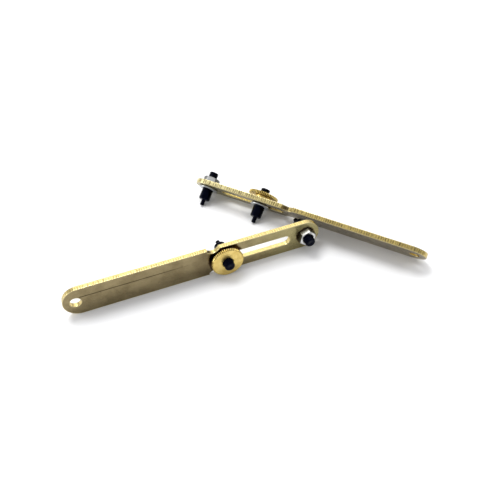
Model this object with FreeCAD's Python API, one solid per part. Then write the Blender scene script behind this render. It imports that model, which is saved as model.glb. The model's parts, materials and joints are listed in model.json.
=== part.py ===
import FreeCAD, Part
import math
import os

"""A pair of adjustable two-pin face spanners, laid down crossing each other.

Each spanner is a flat brass bar. Its solid half is the handle, with a hole to hang it by, and its
other half is a slotted arm. A fixed pin is clamped through the arm's end by a hex nut. A second, equal
pin slides along the slot and is clamped by a knurled thumb nut. The thin pin tips enter the two face
holes of the ring, cap or bezel that is to be turned.

Spanner frame: x runs along the bar from the pin end to the handle end, y across it, and +z out of
the face that the nuts sit on, with z = 0 in the middle of the bar's thickness. Row frame: +Z up, the
front spanner's bar along X, the floor at Z = 0 and the origin under the middle of the pair.
"""

# Bar, mm
BAR_LENGTH = 103.0
BAR_WIDTH = 12.7
BAR_THICKNESS = 2.0
BAR_EDGE_BREAK = 0.12
END_PIN_X = 5.9
SLOT_WIDTH = 4.3
SLOT_START_X = 14.9
SLOT_END_X = 40.0
HANG_HOLE_RADIUS = 2.1
HANG_HOLE_FROM_END = 4.8

# Scallop on each long edge, where the arm meets the handle's square shoulder, mm
SHOULDER_X = 47.0
SCALLOP_X = 44.8
SCALLOP_RADIUS = 3.0
SCALLOP_DEPTH = 1.7

# Turned pins, mm
STUD_RADIUS = 2.05
STUD_ABOVE_BAR = 5.2
STUD_CHAMFER = 0.5
BODY_RADIUS = 2.4
BODY_LENGTH = 5.0
BODY_TOP_CHAMFER = 0.15
BODY_FOOT_CHAMFER = 0.45
TIP_RADIUS = 0.9
TIP_LENGTH = 2.5
TIP_CHAMFER = 0.3

# Hex nut and washers, mm
NUT_ACROSS_FLATS = 6.35
NUT_HEIGHT = 2.6
NUT_FACE_RADIUS = 3.05
NUT_CHAMFER_SLOPE = math.tan(math.radians(30))
NUT_TURN_DEG = 17.0
WASHER_RADIUS = 4.2
WASHER_THICKNESS = 0.8
WASHER_HOLE_RADIUS = 2.15
WASHER_CHAMFER = 0.12

# Thumb nut, mm
THUMB_RADIUS = 6.5
THUMB_RIM_HEIGHT = 1.3
THUMB_RIM_CHAMFER = 0.25
THUMB_BOSS_RADIUS = 3.5
THUMB_BOSS_HEIGHT = 1.3
KNURL_TEETH = 52
KNURL_DEPTH = 0.22

# Clearances, mm
THREAD_CLEARANCE = 0.05
SLIDE_GAP = 0.05
BAR_HOLE_CLEARANCE = 0.05

# Where things lie, mm and degrees
FRONT_SLIDING_PIN_X = 39.9
REAR_SLIDING_PIN_X = 31.1
CROSSING_ANGLE_DEG = 48.0
REAR_TIP_FROM_FRONT_BAR = (13.9, 37.9)

# Worked out
HALF_WIDTH = BAR_WIDTH / 2
HALF_THICKNESS = BAR_THICKNESS / 2
PIN_REACH = WASHER_THICKNESS + BODY_LENGTH + TIP_LENGTH
THUMB_HEIGHT = THUMB_BOSS_HEIGHT + THUMB_RIM_HEIGHT

# The rear spanner lies on one long edge of its bar and on its pin tips, so its roll follows from the
# corners that touch the floor: the broken edge of the bar and the chamfered end of the sliding pin.
REAR_TOUCH_DEPTH = PIN_REACH + SLIDE_GAP - TIP_CHAMFER + BAR_EDGE_BREAK
REAR_ROLL = math.atan2(REAR_TOUCH_DEPTH, HALF_WIDTH - TIP_RADIUS)

# The front spanner stands on one long edge. Its thumb nut is a little wider than the bar, so its rim
# reaches the floor first and tips the bar back on to its rear corner.
RIM_TOUCH_Z = HALF_THICKNESS + SLIDE_GAP + THUMB_BOSS_HEIGHT + THUMB_RIM_CHAMFER
BAR_CORNER_Z = HALF_THICKNESS - BAR_EDGE_BREAK
FRONT_LEAN = math.atan2(THUMB_RADIUS - HALF_WIDTH, RIM_TOUCH_Z + BAR_CORNER_Z)

X_AXIS = FreeCAD.Vector(1, 0, 0)
Z_AXIS = FreeCAD.Vector(0, 0, 1)


def cylinder(radius, height, x=0.0, z=0.0):
    """A cylinder along z, its foot at (x, 0, z)."""
    return Part.makeCylinder(radius, height, FreeCAD.Vector(x, 0, z), Z_AXIS)


def turned(profile):
    """A solid of revolution about z from (radius, z) corners."""
    points = [FreeCAD.Vector(radius, 0, z) for radius, z in profile]
    face = Part.Face(Part.makePolygon(points + points[:1]))
    return face.revolve(FreeCAD.Vector(0, 0, 0), Z_AXIS, 360)


def prism(corners, height):
    """A straight prism along z with its foot at z = 0."""
    points = [FreeCAD.Vector(x, y, 0) for x, y in corners]
    return Part.Face(Part.makePolygon(points + points[:1])).extrude(Z_AXIS * height)


def round_ended(start_x, end_x, radius, height, z):
    """A flat bar or slot whose ends are half circles about start_x and end_x."""
    middle = Part.makeBox(end_x - start_x, 2 * radius, height, FreeCAD.Vector(start_x, -radius, z))
    ends = [cylinder(radius, height, x, z) for x in (start_x, end_x)]
    return middle.fuse(ends).removeSplitter()


def scallop_cutter(side):
    """The round relief cut into one long edge, stopped square at the handle's shoulder."""
    centre_y = side * (HALF_WIDTH - SCALLOP_DEPTH + SCALLOP_RADIUS)
    foot = FreeCAD.Vector(SCALLOP_X, centre_y, -BAR_THICKNESS)
    round_cut = Part.makeCylinder(SCALLOP_RADIUS, 2 * BAR_THICKNESS, foot, Z_AXIS)
    size = 4 * SCALLOP_RADIUS
    keep_corner = FreeCAD.Vector(SHOULDER_X - size, centre_y - size / 2, -BAR_THICKNESS)
    return round_cut.common(Part.makeBox(size, size, 2 * BAR_THICKNESS, keep_corner))


def lies_in_face(edge):
    """True for an edge that lies in one of the bar's two flat faces."""
    box = edge.BoundBox
    flat = box.ZLength < 1e-4
    return flat and abs(abs(box.ZMin) - HALF_THICKNESS) < 1e-4


def bar():
    """The flat bar with its slot, pin hole, hanging hole, scallops and broken edges."""
    blank = round_ended(HALF_WIDTH, BAR_LENGTH - HALF_WIDTH, HALF_WIDTH, BAR_THICKNESS, -HALF_THICKNESS)
    through = 2 * BAR_THICKNESS
    cutters = [
        round_ended(SLOT_START_X, SLOT_END_X, SLOT_WIDTH / 2, through, -BAR_THICKNESS),
        cylinder(STUD_RADIUS + BAR_HOLE_CLEARANCE, through, END_PIN_X, -BAR_THICKNESS),
        cylinder(HANG_HOLE_RADIUS, through, BAR_LENGTH - HANG_HOLE_FROM_END, -BAR_THICKNESS),
        scallop_cutter(1),
        scallop_cutter(-1),
    ]
    solid = blank.cut(cutters).removeSplitter()
    return solid.makeChamfer(BAR_EDGE_BREAK, [edge for edge in solid.Edges if lies_in_face(edge)])


def pin():
    """One turned pin: threaded stud, thicker body and thin tip, its shoulder at z = 0."""
    stud_top = WASHER_THICKNESS + BAR_THICKNESS + STUD_ABOVE_BAR
    profile = [
        (0, stud_top),
        (STUD_RADIUS - STUD_CHAMFER, stud_top),
        (STUD_RADIUS, stud_top - STUD_CHAMFER),
        (STUD_RADIUS, 0),
        (BODY_RADIUS - BODY_TOP_CHAMFER, 0),
        (BODY_RADIUS, -BODY_TOP_CHAMFER),
        (BODY_RADIUS, BODY_FOOT_CHAMFER - BODY_LENGTH),
        (BODY_RADIUS - BODY_FOOT_CHAMFER, -BODY_LENGTH),
        (TIP_RADIUS, -BODY_LENGTH),
        (TIP_RADIUS, TIP_CHAMFER - BODY_LENGTH - TIP_LENGTH),
        (TIP_RADIUS - TIP_CHAMFER, -BODY_LENGTH - TIP_LENGTH),
        (0, -BODY_LENGTH - TIP_LENGTH),
    ]
    return turned(profile)


def washer():
    """A flat washer with broken outer edges, its foot at z = 0."""
    profile = [
        (WASHER_HOLE_RADIUS, 0),
        (WASHER_RADIUS - WASHER_CHAMFER, 0),
        (WASHER_RADIUS, WASHER_CHAMFER),
        (WASHER_RADIUS, WASHER_THICKNESS - WASHER_CHAMFER),
        (WASHER_RADIUS - WASHER_CHAMFER, WASHER_THICKNESS),
        (WASHER_HOLE_RADIUS, WASHER_THICKNESS),
    ]
    return turned(profile)


def hex_nut():
    """A hex nut chamfered on both faces, its foot at z = 0."""
    corner_radius = NUT_ACROSS_FLATS / math.sqrt(3)
    angles = [math.radians(NUT_TURN_DEG + 60 * k) for k in range(6)]
    hexagon = prism([(corner_radius * math.cos(a), corner_radius * math.sin(a)) for a in angles], NUT_HEIGHT)
    chamfer = (corner_radius - NUT_FACE_RADIUS) * NUT_CHAMFER_SLOPE
    envelope = turned([
        (STUD_RADIUS, 0),
        (NUT_FACE_RADIUS, 0),
        (corner_radius, chamfer),
        (corner_radius, NUT_HEIGHT - chamfer),
        (NUT_FACE_RADIUS, NUT_HEIGHT),
        (STUD_RADIUS, NUT_HEIGHT),
    ])
    return hexagon.common(envelope)


def thumb_nut():
    """A thin knurled disc on a plain boss; the boss stands on the bar at z = 0."""
    valley_radius = THUMB_RADIUS - KNURL_DEPTH
    corners = []
    for k in range(2 * KNURL_TEETH):
        radius = THUMB_RADIUS if k % 2 == 0 else valley_radius
        angle = math.pi * k / KNURL_TEETH
        corners.append((radius * math.cos(angle), radius * math.sin(angle)))
    knurled = prism(corners, THUMB_HEIGHT)
    envelope = turned([
        (STUD_RADIUS + THREAD_CLEARANCE, 0),
        (THUMB_BOSS_RADIUS, 0),
        (THUMB_BOSS_RADIUS, THUMB_BOSS_HEIGHT),
        (THUMB_RADIUS - THUMB_RIM_CHAMFER, THUMB_BOSS_HEIGHT),
        (THUMB_RADIUS, THUMB_BOSS_HEIGHT + THUMB_RIM_CHAMFER),
        (THUMB_RADIUS, THUMB_HEIGHT - THUMB_RIM_CHAMFER),
        (THUMB_RADIUS - THUMB_RIM_CHAMFER, THUMB_HEIGHT),
        (STUD_RADIUS + THREAD_CLEARANCE, THUMB_HEIGHT),
    ])
    return knurled.common(envelope)


def spanner(sliding_pin_x):
    """Every piece of one spanner, in the spanner frame, by name."""

    def at(shape, x, z):
        return shape.translated(FreeCAD.Vector(x, 0, z))

    under_bar = -HALF_THICKNESS - WASHER_THICKNESS
    return {
        "bar": bar(),
        "end_pin": at(pin(), END_PIN_X, under_bar),
        "end_washer": at(washer(), END_PIN_X, under_bar),
        "end_nut": at(hex_nut(), END_PIN_X, HALF_THICKNESS),
        "sliding_pin": at(pin(), sliding_pin_x, under_bar - SLIDE_GAP),
        "sliding_washer": at(washer(), sliding_pin_x, under_bar - SLIDE_GAP),
        "thumb_nut": at(thumb_nut(), sliding_pin_x, HALF_THICKNESS + SLIDE_GAP),
    }


def frame_placement(origin, along, across, out):
    """The placement that takes the spanner frame's x, y and z to the three given directions."""
    matrix = FreeCAD.Matrix(
        along.x, across.x, out.x, origin.x,
        along.y, across.y, out.y, origin.y,
        along.z, across.z, out.z, origin.z,
        0, 0, 0, 1)
    return FreeCAD.Placement(matrix)


def front_placement():
    """On its long edge, handle to the left, nuts to the front, the bar's middle over the origin."""
    front = FreeCAD.Vector(0, -1, 0)
    across = front * math.sin(FRONT_LEAN) - Z_AXIS * math.cos(FRONT_LEAN)
    out = front * math.cos(FRONT_LEAN) + Z_AXIS * math.sin(FRONT_LEAN)
    height = HALF_WIDTH * math.cos(FRONT_LEAN) + BAR_CORNER_Z * math.sin(FRONT_LEAN)
    origin = FreeCAD.Vector(BAR_LENGTH / 2, 0, height)
    return frame_placement(origin, -X_AXIS, across, out)


def rear_placement():
    """On its back edge and pin tips, crossing over the front spanner's pin end."""
    heading = math.radians(-CROSSING_ANGLE_DEG)
    along = FreeCAD.Vector(math.cos(heading), math.sin(heading), 0)
    level_across = FreeCAD.Vector(-math.sin(heading), math.cos(heading), 0)
    across = level_across * math.cos(REAR_ROLL) - Z_AXIS * math.sin(REAR_ROLL)
    out = Z_AXIS * math.cos(REAR_ROLL) + level_across * math.sin(REAR_ROLL)
    tip_to_bar = level_across * ((HALF_THICKNESS + PIN_REACH) * math.sin(REAR_ROLL))
    origin = FreeCAD.Vector(*REAR_TIP_FROM_FRONT_BAR, 0) - along * END_PIN_X + tip_to_bar
    origin.z = HALF_WIDTH * math.sin(REAR_ROLL) + BAR_CORNER_Z * math.cos(REAR_ROLL)
    return frame_placement(origin, along, across, out)


def all_nodes():
    """Every node in the row frame, with the origin under the middle of the pair."""
    nodes = {}
    for prefix, sliding_pin_x, placement in (
            ("front", FRONT_SLIDING_PIN_X, front_placement()),
            ("rear", REAR_SLIDING_PIN_X, rear_placement())):
        for name, shape in spanner(sliding_pin_x).items():
            nodes[f"{prefix}_{name}"] = shape.Solids[0].transformed(placement.toMatrix(), True)
    middle = Part.makeCompound(list(nodes.values())).optimalBoundingBox(False).Center
    shift = FreeCAD.Vector(-middle.x, -middle.y, 0)
    return {name: shape.translated(shift) for name, shape in nodes.items()}, shift


NODES, PAIR_SHIFT = all_nodes()
os.makedirs("parts", exist_ok=True)
for node_name, node_shape in NODES.items():
    node_shape.exportStep(f"parts/{node_name}.step")
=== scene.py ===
"""Looks for a pair of adjustable two-pin face spanners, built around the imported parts.

Every visible piece is made in the spanner frame, in millimetres: x runs along the bar from the pin end
to the handle's end, y across the bar, and z out of the face that the nuts sit on, with z = 0 in the
middle of the bar. SpannerFrame reads from the frame's record where each spanner lies, and its matrix
takes millimetres in the spanner frame to metres in the row frame.
"""

import json
import logging
import math
from dataclasses import dataclass
from enum import Enum
from typing import Any, Callable, Sequence

import bmesh
import bpy
from mathutils import Matrix, Vector
from mathutils.geometry import delaunay_2d_cdt


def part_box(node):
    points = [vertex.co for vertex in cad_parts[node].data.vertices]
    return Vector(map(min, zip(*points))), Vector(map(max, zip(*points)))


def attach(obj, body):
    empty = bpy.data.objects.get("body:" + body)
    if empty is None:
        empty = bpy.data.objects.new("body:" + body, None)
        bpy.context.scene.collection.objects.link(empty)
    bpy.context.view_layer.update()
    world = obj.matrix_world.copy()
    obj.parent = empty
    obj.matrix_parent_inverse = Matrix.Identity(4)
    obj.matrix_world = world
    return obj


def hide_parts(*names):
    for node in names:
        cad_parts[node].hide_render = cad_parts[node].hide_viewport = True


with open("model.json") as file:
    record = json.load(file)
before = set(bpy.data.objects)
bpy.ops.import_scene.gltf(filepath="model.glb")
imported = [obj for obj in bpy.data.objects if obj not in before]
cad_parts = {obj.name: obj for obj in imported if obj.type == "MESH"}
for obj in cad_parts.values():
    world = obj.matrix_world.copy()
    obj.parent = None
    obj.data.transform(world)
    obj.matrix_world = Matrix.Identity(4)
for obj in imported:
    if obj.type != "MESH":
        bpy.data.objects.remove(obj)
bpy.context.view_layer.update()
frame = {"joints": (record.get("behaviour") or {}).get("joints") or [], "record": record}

MM = 0.001
LOG = logging.getLogger("spanners")
INSIDE_WITH_HOLES = 2
NUT_FACE_FROM = 0.7
BAR_ATTRIBUTES = ("edge_rub", "wall", "outer", "scallop_shade", "run")

RadiusHeight = tuple[float, float]
ProfileAt = Callable[[float], list[RadiusHeight]]
Colour = tuple[float, float, float, float]
Socket = bpy.types.NodeSocket
Node = bpy.types.Node
Tree = bpy.types.NodeTree
Mesh = bpy.types.Mesh
Material = bpy.types.Material


class Side(Enum):
    """Which of the two spanners a piece belongs to; the value starts its nodes' names."""

    FRONT = "front"
    REAR = "rear"


class Slot(Enum):
    """The record's material slots."""

    BAR = "bar_brass"
    THUMB_NUT = "thumb_brass"
    PIN = "black_steel"
    HEX_NUT = "nut_steel"
    WASHER = "washer_steel"


# ---- small tools


class TreeMaker:
    """Adds nodes to one shader or geometry tree and joins them."""

    def __init__(self, tree: Tree) -> None:
        """Keeps the tree to add to."""
        self.tree = tree

    def feed(self, socket: Socket, value: Any) -> None:
        """Links a socket or a node's first output to an input, or sets the input's own value.

        Args:
            socket: the input.
            value: a socket, a node or a plain value.
        """
        if isinstance(value, Node):
            value = value.outputs[0]
        if isinstance(value, Socket):
            self.tree.links.new(value, socket)
        else:
            socket.default_value = value

    def add(self, kind: str, inputs: dict[Any, Any] | None = None, **settings: Any) -> Node:
        """Adds a node.

        Args:
            kind: the node's type name.
            inputs: what each input, by name or number, is fed.
            **settings: the node's own properties.

        Returns:
            The new node.
        """
        node = self.tree.nodes.new(kind)
        for name, value in settings.items():
            setattr(node, name, value)
        for key, value in (inputs or {}).items():
            self.feed(node.inputs[key], value)
        return node

    def declare(self, key: str, kind: str, value: float | None = None, way: str = "INPUT") -> None:
        """Gives the tree an input or output of its own.

        Args:
            key: its name.
            kind: what it carries, as in the socket type's name.
            value: an input's default, or None.
            way: INPUT or OUTPUT.
        """
        socket = self.tree.interface.new_socket(key, in_out=way, socket_type=f"NodeSocket{kind}")
        if value is not None:
            socket.default_value = value

    def math(self, operation: str, *values: Any, clamp: bool = False) -> Socket:
        """A Math node's result, held between 0 and 1 if clamp is true."""
        node = self.add("ShaderNodeMath", dict(enumerate(values)), operation=operation, use_clamp=clamp)
        return node.outputs[0]

    def times(self, first: Any, second: Any, clamp: bool = False) -> Socket:
        """The first value times the second."""
        return self.math("MULTIPLY", first, second, clamp=clamp)

    def plus(self, first: Any, second: Any, clamp: bool = False) -> Socket:
        """The sum of two values."""
        return self.math("ADD", first, second, clamp=clamp)

    def minus(self, first: Any, second: Any) -> Socket:
        """The first value less the second."""
        return self.math("SUBTRACT", first, second)

    def over(self, first: Any, second: Any) -> Socket:
        """The first value divided by the second."""
        return self.math("DIVIDE", first, second)

    def larger(self, first: Any, second: Any) -> Socket:
        """The larger of two values."""
        return self.math("MAXIMUM", first, second)

    def smaller(self, first: Any, second: Any) -> Socket:
        """The smaller of two values."""
        return self.math("MINIMUM", first, second)

    def above(self, value: Any, limit: Any) -> Socket:
        """1 where a value is above a limit, 0 elsewhere."""
        return self.math("GREATER_THAN", value, limit)

    def wave(self, turns: Any) -> Socket:
        """A wave with straight flanks: 0 at every whole turn, 1 at every half turn."""
        return self.times(self.math("PINGPONG", turns, 0.5), 2.0)

    def vector(self, x: Any = 0.0, y: Any = 0.0, z: Any = 0.0) -> Socket:
        """A vector from its parts."""
        return self.add("ShaderNodeCombineXYZ", {0: x, 1: y, 2: z}).outputs[0]

    def parts(self, vector: Any) -> Any:
        """A vector's x, y and z."""
        return self.add("ShaderNodeSeparateXYZ", {0: vector}).outputs

    def scaled(self, vector: Any, scale: Any) -> Socket:
        """A vector times a number."""
        return self.add("ShaderNodeVectorMath", {0: vector, "Scale": scale}, operation="SCALE").outputs[0]

    def noise(self, vector: Any, scale: float, detail: float = 2.0, roughness: float = 0.5) -> Socket:
        """A noise texture's value at a vector."""
        inputs = {"Vector": vector, "Scale": scale, "Detail": detail, "Roughness": roughness}
        return self.add("ShaderNodeTexNoise", inputs).outputs[0]


class ShaderMaker(TreeMaker):
    """TreeMaker with the short cuts that materials use."""

    def between(self, value: Any, low: Any, high: Any, to_low: float = 0.0, to_high: float = 1.0,
                smooth: bool = True) -> Socket:
        """Maps a value's range to another one.

        Args:
            value: what is mapped.
            low: the value that gives to_low.
            high: the value that gives to_high.
            to_low: the lower result.
            to_high: the higher result.
            smooth: eases in and out if true.

        Returns:
            The mapped value's socket.
        """
        kind = "SMOOTHSTEP" if smooth else "LINEAR"
        inputs = {0: value, 1: low, 2: high, 3: to_low, 4: to_high}
        return self.add("ShaderNodeMapRange", inputs, interpolation_type=kind).outputs[0]

    def stretched(self, vector: Any, scale: Any) -> Socket:
        """The vector scaled by a different amount along each axis."""
        return self.add("ShaderNodeVectorMath", {0: vector, 1: scale}, operation="MULTIPLY").outputs[0]

    def length(self, x: Any, y: Any) -> Socket:
        """The length of the flat vector (x, y)."""
        return self.add("ShaderNodeVectorMath", {0: self.vector(x, y)}, operation="LENGTH").outputs["Value"]

    def layer(self, below: Any, over: Any, mask: Any, strength: float = 1.0) -> Socket:
        """Lays a colour over another one.

        Args:
            below: the colour that shows where the mask is 0.
            over: the colour that is laid on.
            mask: where it is laid on, from 0 to 1.
            strength: the mask's share.

        Returns:
            The mixed colour's socket.
        """
        share = mask if strength == 1.0 else self.times(mask, strength)
        return self.add("ShaderNodeMix", {"Factor": share, 6: below, 7: over}, data_type="RGBA").outputs[2]


class GeometryMaker(TreeMaker):
    """TreeMaker for a modifier's tree, with its own named inputs."""

    def __init__(self, name: str, sizes: dict[str, float], numbers: dict[str, int]) -> None:
        """Makes an empty geometry tree.

        Args:
            name: the tree's name.
            sizes: its float inputs and their defaults.
            numbers: its whole-number inputs and their defaults.
        """
        super().__init__(bpy.data.node_groups.new(name, "GeometryNodeTree"))
        self.declare("Geometry", "Geometry")
        for kind, inputs in (("Float", sizes), ("Int", numbers)):
            for key, value in inputs.items():
                self.declare(key, kind, value)
        self.declare("Material", "Material")
        self.declare("Geometry", "Geometry", way="OUTPUT")
        self.source = self.tree.nodes.new("NodeGroupInput").outputs

    def named(self, attribute: str) -> Socket:
        """A float attribute of the mesh that comes in."""
        return self.add("GeometryNodeInputNamedAttribute", {"Name": attribute}, data_type="FLOAT").outputs[0]

    def stored(self, geometry: Any, attribute: str, value: Any) -> Node:
        """The geometry with a value kept as a float attribute of its points."""
        inputs = {"Geometry": geometry, "Name": attribute, "Value": value}
        return self.add("GeometryNodeStoreNamedAttribute", inputs, data_type="FLOAT", domain="POINT")

    def place(self) -> Any:
        """Each point's x, y and z."""
        return self.parts(self.add("GeometryNodeInputPosition"))

    def polar(self) -> tuple[Socket, Socket, Socket]:
        """Each point's distance from the z axis, angle about it, and height."""
        x, y, z = self.place()
        square = self.plus(self.times(x, x), self.times(y, y))
        return self.math("SQRT", square), self.math("ARCTAN2", y, x), z

    def cap_radius(self, limit: Any) -> Node:
        """Pulls each point that lies outside a radius in to it.

        Args:
            limit: the largest radius at each point.

        Returns:
            The Set Position node.
        """
        x, y, z = self.place()
        radius = self.polar()[0]
        share = self.over(self.smaller(radius, limit), self.larger(radius, 1e-6))
        capped = self.vector(self.times(x, share), self.times(y, share), z)
        return self.add("GeometryNodeSetPosition", {"Geometry": self.source["Geometry"], "Position": capped})

    def close(self, geometry: Any) -> Tree:
        """Ends the tree in Realize Instances and Set Material.

        Args:
            geometry: what the tree has made.

        Returns:
            The finished tree.
        """
        real = self.add("GeometryNodeRealizeInstances", {0: geometry})
        inputs = {"Geometry": real, "Material": self.source["Material"]}
        self.add("NodeGroupOutput", {0: self.add("GeometryNodeSetMaterial", inputs)})
        return self.tree


def in_scene(name: str, data: Any) -> bpy.types.Object:
    """A new object with the given data, linked to the scene."""
    made = bpy.data.objects.new(name, data)
    bpy.context.scene.collection.objects.link(made)
    return made


def mesh_of(shape: bmesh.types.BMesh, name: str) -> Mesh:
    """Ends a bmesh and returns it as a mesh."""
    mesh = bpy.data.meshes.new(name)
    shape.to_mesh(mesh)
    shape.free()
    return mesh


def grown(mesh: Mesh, tree: Tree, **values: Any) -> Mesh:
    """Runs a geometry tree on a mesh and returns the result as a plain mesh.

    Args:
        mesh: the mesh that the tree works on.
        tree: the geometry tree.
        **values: its inputs, with the spaces in their names written as underscores.

    Returns:
        The new mesh.
    """
    helper = in_scene("helper", mesh)
    modifier = helper.modifiers.new("shape", "NODES")
    modifier.node_group = tree
    for item in tree.interface.items_tree:
        key = item.name.replace(" ", "_")
        if item.in_out == "INPUT" and key in values:
            modifier[item.identifier] = values[key]
    depsgraph = bpy.context.evaluated_depsgraph_get()
    result = bpy.data.meshes.new_from_object(helper.evaluated_get(depsgraph))
    bpy.data.objects.remove(helper)
    return result


def softened(corners: Sequence[RadiusHeight], radius: float, steps: int = 4,
             closed: bool = True) -> list[RadiusHeight]:
    """Rounds the corners of a profile.

    Args:
        corners: the profile's (radius, height) corners.
        radius: how far from each corner the rounding starts, in millimetres.
        steps: how many pieces each rounding has.
        closed: true for a loop, false for a line whose ends stay.

    Returns:
        The rounded profile.
    """
    points: list[RadiusHeight] = []
    count = len(corners)
    for k, corner in enumerate(corners):
        here = Vector(corner)
        if not closed and k in (0, count - 1):
            points.append(corner)
            continue
        before, after = Vector(corners[k - 1]), Vector(corners[(k + 1) % count])
        reach = min(radius, (before - here).length * 0.45, (after - here).length * 0.45)
        start = here + (before - here).normalized() * reach
        end = here + (after - here).normalized() * reach
        for step in range(steps + 1):
            t = step / steps
            point = start * (1 - t) ** 2 + here * (2 * t * (1 - t)) + end * t * t
            points.append((point.x, point.y))
    return points


def divided(profile: Sequence[RadiusHeight], longest: float) -> list[RadiusHeight]:
    """Splits a profile's upright runs so that no piece is longer than a given length."""
    points = [profile[0]]
    for start, end in zip(profile, profile[1:]):
        a, b = Vector(start), Vector(end)
        pieces = max(1, math.ceil((b - a).length / longest - 1e-6)) if abs(b.y - a.y) > abs(b.x - a.x) else 1
        points += [tuple(a.lerp(b, step / pieces)) for step in range(1, pieces + 1)]
    return points


def turned(profile_at: ProfileAt, angles: Sequence[float], closed: bool) -> Mesh:
    """Turns a profile about the z axis.

    Args:
        profile_at: gives the profile at an angle, always with as many points; it runs up the outside.
        angles: the angles of the columns.
        closed: true for a ring, whose profile is a loop; false for a solid that ends on the axis.

    Returns:
        A closed mesh whose faces look outwards.
    """
    shape = bmesh.new()
    columns = []
    poles: dict[int, bmesh.types.BMVert] = {}
    for angle in angles:
        column = []
        for k, (radius, height) in enumerate(profile_at(angle)):
            if radius < 1e-6:
                if k not in poles:
                    poles[k] = shape.verts.new((0, 0, height))
                column.append(poles[k])
            else:
                column.append(shape.verts.new((radius * math.cos(angle), radius * math.sin(angle), height)))
        columns.append(column)
    rows = len(columns[0])
    for j, column in enumerate(columns):
        following = columns[(j + 1) % len(columns)]
        for k in range(rows if closed else rows - 1):
            above = (k + 1) % rows
            corners = [column[k], following[k], following[above], column[above]]
            distinct = [v for i, v in enumerate(corners) if v not in corners[:i]]
            if len(distinct) > 2:
                shape.faces.new(distinct)
    return mesh_of(shape, "turned")


def round_angles(count: int) -> list[float]:
    """Evenly spaced angles for a turned piece."""
    return [math.tau * k / count for k in range(count)]


# ---- where things lie


@dataclass(frozen=True)
class SpannerFrame:
    """Where one spanner lies, read from the record's mounts and joints."""

    side: Side
    matrix: Matrix
    end_pin_x: float
    sliding_pin_x: float

    @classmethod
    def read(cls, side: Side, hole_x: float) -> "SpannerFrame":
        """Reads one spanner's place.

        Args:
            side: which spanner.
            hole_x: where its hanging hole is along the bar, in millimetres.

        Returns:
            The spanner's place.
        """
        mounts = {mount["name"]: mount for mount in frame["record"]["mounts"]}
        joints = {joint["name"]: joint for joint in frame["joints"]}
        hole = mounts[f"{side.value}_hanging_hole"]
        out = Vector(hole["axis"]).normalized()
        along = -Vector(joints[f"{side.value}_pin_slide"]["axis"]).normalized()
        across = out.cross(along)
        origin = Vector(hole["pos_m"]) - along * hole_x * MM
        turn = Matrix((along, across, out)).transposed().to_4x4()
        place = Matrix.Translation(origin) @ turn @ Matrix.Scale(MM, 4)

        def x_of(mount: str) -> float:
            """How far along the bar a pin is, in millimetres."""
            return (Vector(mounts[f"{side.value}_{mount}_pin_tip"]["pos_m"]) - origin).dot(along) / MM

        return cls(side, place, x_of("end"), x_of("sliding"))

    def at(self, x: float, z: float) -> Matrix:
        """The placement of a piece that stands on the bar's middle line at (x, 0, z), in millimetres."""
        return self.matrix @ Matrix.Translation((x, 0, z))


# ---- shader effects that materials share


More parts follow.
